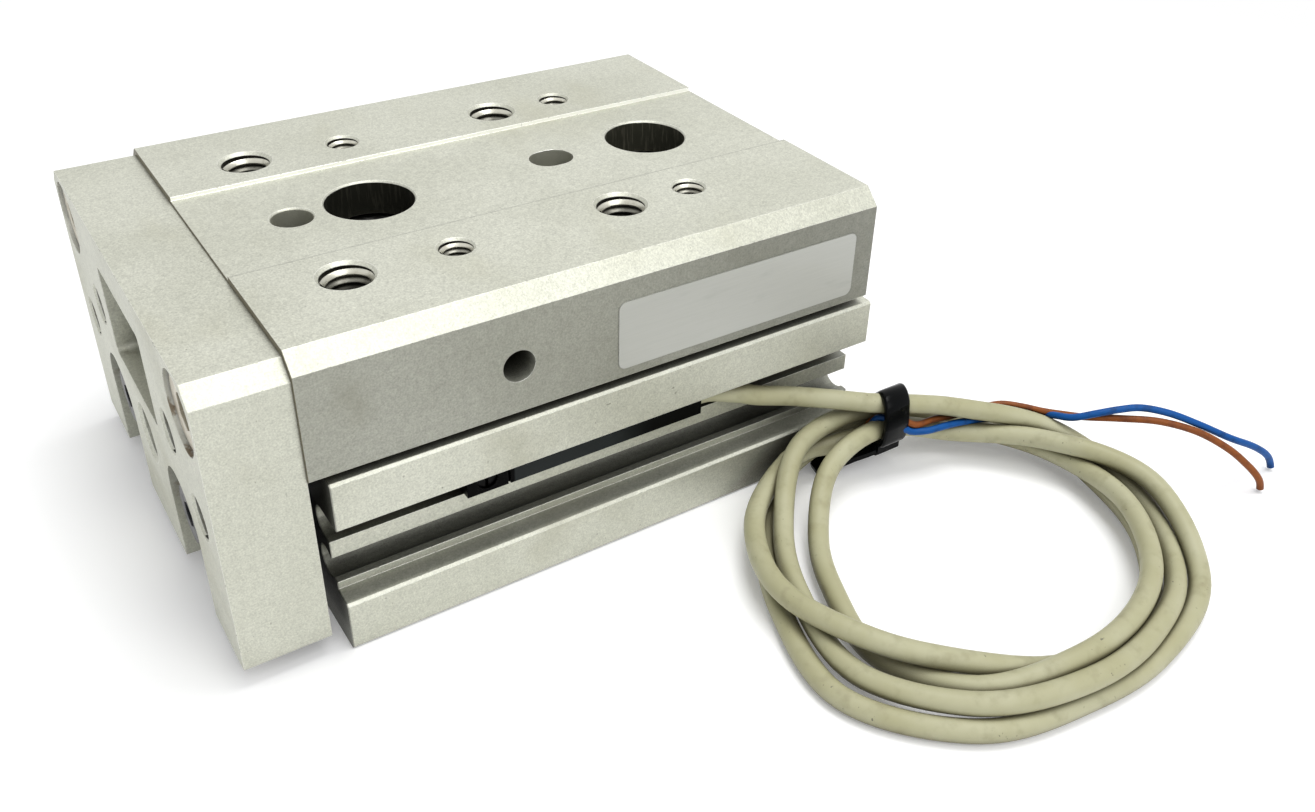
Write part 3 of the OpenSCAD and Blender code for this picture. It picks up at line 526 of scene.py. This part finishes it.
def anodising(name, wear, shadow):
    """The three parts' finish; wear adds each part's own marks and painted light, shadow sets how soon
    hollows darken.
    """
    f = Finish(name, Metallic=0.75, Specular_IOR_Level=0.5)
    grain = f.noise(0.24 * mm, detail=2, roughness=0.75)
    mottle = f.noise(0.8 * mm, detail=4)
    cloud = f.noise(16 * mm, detail=3)
    rounded = rounding(f, 0.15 * mm)
    edge = edge_of(f, rounded).between(0.005, 0.12)
    nicks = edge * f.noise(0.6 * mm, detail=3).between(0.6, 0.68)
    stain = f.noise(13 * mm, detail=6, stretch=(1, 2, 1)).between(0.52, 0.75)
    specks = f.noise(0.4 * mm, detail=0).between(0.8, 0.84) * f.noise(5 * mm).between(0.5, 0.7)
    long_noise = f.noise(0.25 * mm, detail=1, stretch=(1, 45, 12))
    scratch = long_noise.between(0.76, 0.8) * f.noise(7 * mm).between(0.55, 0.65)
    # painted shade: darker in holes, slots and corners
    depth = 1 - f.openness(7 * mm).between(0.08, shadow)
    colour = f.mix((0.58, 0.585, 0.505), (0.525, 0.53, 0.45), cloud.between(0.3, 0.7))
    colour = shade(f, colour, 0.4 + 0.88 * grain + 0.26 * mottle)
    colour = f.mix(colour, (0.36, 0.35, 0.26), stain * 0.35)
    # bright edges: partly worn metal, partly a painted highlight
    colour = f.mix(colour, (0.9, 0.9, 0.84), edge * 0.75)
    colour = f.mix(colour, (0.86, 0.86, 0.8), scratch * 0.35)
    colour = f.mix(colour, (0.035, 0.032, 0.022), depth * 0.92)
    colour = wear(f, colour)
    colour = f.mix(colour, (0.05, 0.042, 0.03), nicks * 0.75)
    colour = f.mix(colour, (0.07, 0.065, 0.05), specks * 0.5)
    roughness = 0.36 + 0.26 * grain + 0.1 * stain - 0.1 * edge
    relief = grain + 0.35 * mottle - 0.6 * scratch
    return f.feed(colour, roughness, height=relief, depth=0.03 * mm, normal=rounded)


def body_painted_shade(f, colour):
    """Painted shade on the ledges and slopes between the foot and the flange, and on the front."""
    height = along(f, "Z")
    above_foot = height.between((FOOT_TOP - 0.05) * mm, (FOOT_TOP + 0.1) * mm)
    in_flange = height.between((FLANGE_BOTTOM - 0.05) * mm, (FLANGE_BOTTOM + 0.05) * mm)
    front = along(f, "X").between((table_front - 2.2) * mm, (table_front - 2.05) * mm)
    # painted shade on the body's front, seen in the gap behind the end plate
    colour = shade(f, colour, 1 - 0.6 * front)
    # painted shade on the ledges and slopes between the foot and the flange
    painted_slope_shade = 1 - facing(f, "Y").between(0.9, 0.97)
    return shade(f, colour, 1 - 0.52 * (above_foot * (1 - in_flange)) * painted_slope_shade)


def table_dirt_shade_and_highlights(f, colour):
    """Painted shade on the milled sides and in the holes, painted highlights on the channel's walls, and dirt
    with painted shade on the front beside the end plate.
    """
    side = facing(f, "Y").between(0.9, 0.97)
    step_wall_highlight = along(f, "Z").between((table_top - 0.6) * mm, (table_top - 0.55) * mm)
    # painted shade: the sides darker than the top, and darker still towards the rear
    colour = shade(f, colour, 1 - 0.4 * side)
    colour = shade(f, colour, 1 - 0.22 * side * (1 - along(f, "X").between(-35 * mm, 10 * mm)))
    # painted highlight: near white on the upper 0.6 mm of faces that face sideways, the walls of the channel
    colour = f.mix(colour, (0.95, 0.95, 0.9), side * step_wall_highlight)
    # painted shade: a darker line along the channel's near step
    near_step = abs(along(f, "Y") - CHANNEL_HALF_W * mm).between(0.08 * mm, 0.22 * mm)
    colour = shade(f, colour, 0.8 + 0.2 * near_step)
    # dirt and painted shade on the strip of the front above the end plate
    front = along(f, "X").between((table_front - 0.06) * mm, (table_front - 0.03) * mm)
    colour = f.mix(colour, (0.12, 0.10, 0.055), front * (0.75 + 0.25 * f.noise(0.6 * mm)))
    # painted shade on the holes' walls: near black in the access and threaded holes, mid grey in the dowel
    # holes
    for hole, tone in zip(access_holes, access_shade_tones):
        streaks = f.noise(0.35 * mm, detail=2, stretch=(1, 1, 9)).between(0.5, 0.75)
        inside = f.mix((tone, tone, 0.7 * tone), (2.4 * tone, 2.3 * tone, 1.7 * tone), streaks)
        colour = f.mix(colour, inside, shaft(f, hole, ACCESS_R, table_top - 0.7))
    for hole in dowel_holes:
        colour = f.mix(colour, (0.42, 0.42, 0.35), shaft(f, hole, DOWEL_R + 0.7, table_top - 0.6))
    for hole in large_threads:
        colour = f.mix(colour, (0.012, 0.011, 0.008), shaft(f, hole, LARGE_R + 0.02, table_top - 0.35))
    for hole in small_threads:
        colour = f.mix(colour, (0.012, 0.011, 0.008), shaft(f, hole, SMALL_R + 0.02, table_top - 0.25))
    return colour


def plate_grime_and_highlights(f, colour):
    """Brown grime and painted highlights in the hollows round the screws in the end plate's front."""
    front = along(f, "X").between((plate_front - 7) * mm, (plate_front - 0.05) * mm)
    patch = f.noise(2.2 * mm, detail=5).between(0.52, 0.62)
    inside = 1 - f.openness(4 * mm).between(0.45, 0.8)
    colour = f.mix(colour, (0.17, 0.10, 0.045), front * patch * inside * 0.9)
    # painted highlight: bright patches in the hollows between the grime
    return f.mix(colour, (0.9, 0.9, 0.85), front * (1 - patch) * inside * 0.5)


def dress(material, *names):
    """Gives CAD nodes a finish."""
    for name in names:
        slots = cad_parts[name].data.materials
        for i in range(len(slots)):
            slots[i] = material
        if not slots:
            slots.append(material)


dress(anodising("clear_anodising", body_painted_shade, shadow=0.55), "cylinder_body")
dress(anodising("clear_anodising_plate", plate_grime_and_highlights, shadow=0.88), "end_plate")
dress(anodising("clear_anodising_table", table_dirt_shade_and_highlights, shadow=0.5), "table")

# Threads -----------------------------------------------------------------------------------------
# The tapped holes are cut through the anodising, so their threads are bright. Each is a helical
# ridge in its drilled hole, from the major down to the minor diameter, and it fades in at the mouth.

LARGE_THREAD = dict(pitch=1.0, major=LARGE_R, depth=8.6)
SMALL_THREAD = dict(pitch=0.7, major=SMALL_R, depth=5.6)
PLATE_THREAD = dict(pitch=0.8, major=2.5, depth=9.6)
# the threads in the end plate's front, as y and the drop from its top
plate_places = [(side * y, drop) for side in (-1, 1) for y, drop in ((15.8, 13.2), (24.2, 19.2))]


def cut_metal():
    """Bright cut flanks with dirt, painted shade in their roots and painted shade towards the bottom of the
    hole.
    """
    f = Finish("cut_thread", Metallic=0.85, Specular_IOR_Level=0.5)
    grain = f.noise(0.1 * mm, detail=2)
    dirt = f.noise(0.9 * mm, detail=4).between(0.5, 0.8)
    # painted shade in the roots of the thread
    painted_root_shade = 1 - f.openness(0.9 * mm).between(0.5, 0.9)
    # painted shade: darker towards the bottom of the hole
    deep = 1 - along(f, "Z").between((table_top - 3.4) * mm, (table_top - 0.4) * mm)
    colour = f.mix((0.66, 0.65, 0.56), (0.28, 0.24, 0.17), dirt * 0.5)
    colour = f.mix(colour, (0.02, 0.018, 0.012), painted_root_shade * 0.9)
    colour = f.mix(colour, (0.01, 0.009, 0.006), deep)
    return f.feed(colour, 0.22 + 0.2 * grain + 0.2 * dirt, height=grain, depth=0.01 * mm)


def helix(shape, place, pitch, major, depth, segments=40):
    """A thread that winds down the local -Z from the mouth of a hole."""
    ridge = 0.54 * pitch
    root = major + 0.02  # just inside the wall
    rings = []
    for i in range(int(segments * depth / pitch) + 1):
        turn = i / segments
        crest = major - ridge * min(1, turn / 0.6)  # it grows to its height over 0.6 of a turn
        z = -pitch * (turn + 0.62)
        x, y = cos(tau * turn), sin(tau * turn)
        section = ((root, 0.5), (crest, 0.08), (crest, -0.08), (root, -0.5))
        rings.append([place @ Vector((radius * x, radius * y, z + lift * pitch)) for radius, lift in section])
    skin(shape, rings, closed=False)


bright = cut_metal()
table_threads = bmesh.new()
for large, small in zip(large_threads, small_threads):
    helix(table_threads, Matrix.Translation((*large, table_top)), **LARGE_THREAD)
    helix(table_threads, Matrix.Translation((*small, table_top)), **SMALL_THREAD)
new_piece("table_threads", table_threads, bright, "table", smooth=True)

plate_threads = bmesh.new()
for y, drop in plate_places:
    place = Matrix.Translation((plate_front, y, plate_top - drop)) @ Matrix.Rotation(pi / 2, 4, "Y")
    helix(plate_threads, place, **PLATE_THREAD)
new_piece("plate_threads", plate_threads, bright, "table", smooth=True)

# Rating plate ------------------------------------------------------------------------------------
# A self-adhesive foil on the table's side, left bare. It is a little cooler and smoother than the
# metal round it, with fine rolling lines and a few scuffs.


def foil():
    """Matt silver foil, rolled along the table, with a dark cut edge."""
    f = Finish("bare_foil", Metallic=0.35, Specular_IOR_Level=0.5, Coat_Weight=0.15)
    lines = f.noise(0.12 * mm, detail=2, stretch=(40, 1, 1))
    scuff = f.noise(2.5 * mm, detail=6, stretch=(3, 1, 1)).between(0.58, 0.75)
    rounded = rounding(f, 0.12 * mm)
    edge = edge_of(f, rounded).between(0.01, 0.1)
    colour = f.mix((0.48, 0.485, 0.45), (0.43, 0.435, 0.40), lines)
    colour = f.mix(colour, (0.36, 0.36, 0.33), scuff * 0.3)
    colour = f.mix(colour, (0.16, 0.16, 0.13), edge * 0.8)
    return f.feed(colour, 0.32 + 0.1 * lines + 0.2 * scuff, height=lines, depth=0.004 * mm, normal=rounded)


dress(foil(), "rating_plate")

# Switch ------------------------------------------------------------------------------------------
# The magnetic switch is a black glass-filled moulding that slides in the body's slot. A small
# slotted screw in its nose holds it there, and the lead leaves at its other end.


def moulding(name, dark, light, gloss=0.3, shadow=None):
    """A moulded resin or rubber, lighter where it is worn and on its edges, partly worn and partly a painted
    highlight; shadow blackens it.
    """
    f = Finish(name, Specular_IOR_Level=0.16)
    grain = f.noise(0.12 * mm, detail=2)
    wear = f.noise(1.8 * mm, detail=5, stretch=(3, 1, 1)).between(0.5, 0.8)
    rounded = rounding(f, 0.12 * mm)
    edge = edge_of(f, rounded).between(0.01, 0.15)
    colour = f.mix(f.mix(dark, light, wear * 0.7), light, edge * 0.6)
    metallic = None
    if shadow:
        metallic = shadow(f)
        colour = f.mix(colour, (0.002, 0.002, 0.002), metallic)
    gloss = gloss + 0.2 * grain + 0.15 * wear
    return f.feed(colour, gloss, metallic, height=grain, depth=0.01 * mm, normal=rounded)


def slot_shadow(f):
    """1 on the nose and the lead's end of the switch, which sit deep in the dark of the slot."""
    x = along(f, "X")
    return x.between(8.9 * mm, 9.2 * mm) + 0.9 * (1 - x.between(-11 * mm, -4 * mm))


switch_black = moulding("switch_moulding", (0.0065, 0.0095, 0.0095), (0.02, 0.026, 0.026), shadow=slot_shadow)
dress(switch_black, "auto_switch")

# Steel and turned pieces -------------------------------------------------------------------------
# The guide, its rails, rollers and stops, the rods, pistons and bushes, and all the screws. Steel is
# ground, turned, plated or blackened; each finish is the same metal with its own colour and lay.


def metal(name, colour, dull, roughness, lay=(12, 1, 1), dirt=0.4):
    """A metal with tool marks along its lay, dull films of dirt and bright edges, partly worn and partly a
    painted highlight.
    """
    f = Finish(name, Metallic=1.0)
    lines = f.noise(0.09 * mm, detail=3, stretch=lay)
    film = f.noise(1.6 * mm, detail=5).between(0.45, 0.8)
    rounded = rounding(f, 0.15 * mm)
    edge = edge_of(f, rounded).between(0.01, 0.15)
    tone = f.mix(f.mix(colour, dull, lines * 0.5), dull, film * dirt)
    # bright edges: partly worn metal, partly a painted highlight
    tone = f.mix(tone, tuple(min(1, 1.3 * c) for c in colour), edge * 0.6)
    return f.feed(tone, roughness + 0.14 * lines + 0.2 * film, height=lines, depth=0.006 * mm, normal=rounded)


turned = dict(lay=(1, 6, 6))
ground = metal("ground_steel", (0.50, 0.50, 0.49), (0.30, 0.29, 0.27), 0.26)
dress(ground, "guide_block", "near_rail", "far_rail")
stopped = metal("stop_steel", (0.45, 0.45, 0.44), (0.28, 0.27, 0.25), 0.3, lay=(1, 8, 1))
dress(stopped, "cage_stops")
polished = metal("polished_steel", (0.68, 0.68, 0.69), (0.5, 0.5, 0.5), 0.1, dirt=0.2, **turned)
dress(polished, "piston_rods", "cross_rollers")
turned_steel = metal("turned_steel", (0.50, 0.50, 0.50), (0.3, 0.3, 0.29), 0.25, **turned)
dress(turned_steel, "floating_bushes", "piston_nuts")
blackened = metal("black_oxide", (0.075, 0.075, 0.08), (0.035, 0.034, 0.033), 0.3)
dress(blackened, "guide_screws", "cage_stop_screws", "rod_screws")
oiled = metal("oiled_oxide", (0.012, 0.012, 0.012), (0.006, 0.006, 0.006), 0.4)
dress(oiled, "switch_screw", "preload_screws")
plated = metal("zinc_plate", (0.66, 0.63, 0.54), (0.36, 0.31, 0.22), 0.28, lay=(6, 1, 1), dirt=0.7)
dress(plated, "plate_screws")
sprung = metal("spring_steel", (0.16, 0.16, 0.17), (0.07, 0.07, 0.07), 0.3, lay=(1, 4, 4))
dress(sprung, "gland_rings", "cap_rings")
brass = metal("turned_brass", (0.62, 0.45, 0.19), (0.38, 0.25, 0.1), 0.24, **turned)
dress(brass, "seal_supports")
aluminium = metal("turned_aluminium", (0.62, 0.62, 0.60), (0.42, 0.42, 0.4), 0.3, **turned)
dress(aluminium, "head_caps", "pistons")

# Rubber and resin pieces -------------------------------------------------------------------------
# Nitrile seals, urethane bumpers, the bonded magnets and the cages that hold the rollers. All are
# moulded, and differ in their colour and gloss.

nitrile = moulding("nitrile_rubber", (0.012, 0.012, 0.012), (0.035, 0.034, 0.033), gloss=0.4)
dress(nitrile, "rod_seals", "cap_seals", "piston_seals")
urethane = moulding("urethane", (0.48, 0.33, 0.10), (0.62, 0.48, 0.2), gloss=0.35)
dress(urethane, "rod_bumpers", "head_bumpers")
dress(moulding("cage_resin", (0.045, 0.055, 0.06), (0.1, 0.11, 0.12), gloss=0.4), "roller_cages")
dress(moulding("bonded_magnet", (0.025, 0.024, 0.026), (0.06, 0.055, 0.05), gloss=0.45), "piston_magnets")

# Floor, light and background ---------------------------------------------------------------------
# The unit stands on white board under a large soft lamp nearly overhead, with a weaker one in front
# of the switch side. The board turns plain white away from the unit.

BOARD = 1500
WHITE = (1, 1, 1, 1)


def background_rays(nodes):
    """1 for the rays that see the plain background: direct, mirrored and refracted."""
    direct, mirrored, refracted = (
        nodes.node("ShaderNodeLightPath", output="Is " + ray + " Ray")
        for ray in ("Camera", "Glossy", "Transmission")
    )
    return direct + mirrored + refracted


def white_board():
    """Matt white board that glows a little, and fades to plain white from 130 to 300 mm away."""
    f = Finish("white_board", Roughness=0.9, Specular_IOR_Level=0.1)
    paper = f.noise(0.4 * mm, detail=2)
    f.feed(f.mix((0.93, 0.93, 0.93), (0.96, 0.96, 0.96), paper))
    seen = background_rays(f)
    far = f.node("ShaderNodeVectorMath", dict(operation="LENGTH"), {0: f.place}, "Value").between(0.13, 0.3)
    plain = f.node("ShaderNodeEmission", {}, {"Color": WHITE, "Strength": 1.0})
    glow = f.node("ShaderNodeMixShader", {}, {0: 0.14 * seen, 2: plain})
    raised = f.node("ShaderNodeAddShader", {}, {0: Value(f, f.shader.outputs[0]), 1: glow})
    board = f.node("ShaderNodeMixShader", {}, {0: seen * far, 1: raised, 2: plain})
    f.set(f.tree.nodes["Material Output"].inputs["Surface"], board)
    return f.material


board_shape = bmesh.new()
bmesh.ops.create_grid(board_shape, x_segments=4, y_segments=4, size=BOARD)
mesh_object("floor", board_shape, white_board())


def soft_light(name, bearing, height, distance, size, power):
    """A square lamp that looks at the unit from a bearing and a height in degrees."""
    lamp = bpy.data.lights.new(name, "AREA")
    lamp.shape = "SQUARE"
    lamp.size = size
    lamp.energy = power
    light = bpy.data.objects.new(name, lamp)
    bearing, height = radians(bearing), radians(height)
    way = Vector((cos(bearing) * cos(height), sin(bearing) * cos(height), sin(height)))
    light.location = distance * way
    light.rotation_euler = way.to_track_quat("Z", "Y").to_euler()
    bpy.context.scene.collection.objects.link(light)


soft_light("key", bearing=170, height=80, distance=0.6, size=0.3, power=1.75)
soft_light("front", bearing=92, height=47, distance=0.7, size=0.5, power=1.9)

world = bpy.data.worlds.new("studio")
world.use_nodes = True
bpy.context.scene.world = world
# the room's soft light falls on the unit, and only the rays that see past it find plain white
studio = Nodes(world.node_tree)
studio.tree.nodes.remove(studio.tree.nodes["Background"])
room = studio.node("ShaderNodeBackground", {}, {"Color": (0.98, 0.99, 1, 1), "Strength": 0.52})
backdrop = studio.node("ShaderNodeBackground", {}, {"Color": WHITE, "Strength": 1.0})
chosen = studio.node("ShaderNodeMixShader", {}, {0: background_rays(studio), 1: room, 2: backdrop})
studio.set(studio.tree.nodes["World Output"].inputs["Surface"], chosen)
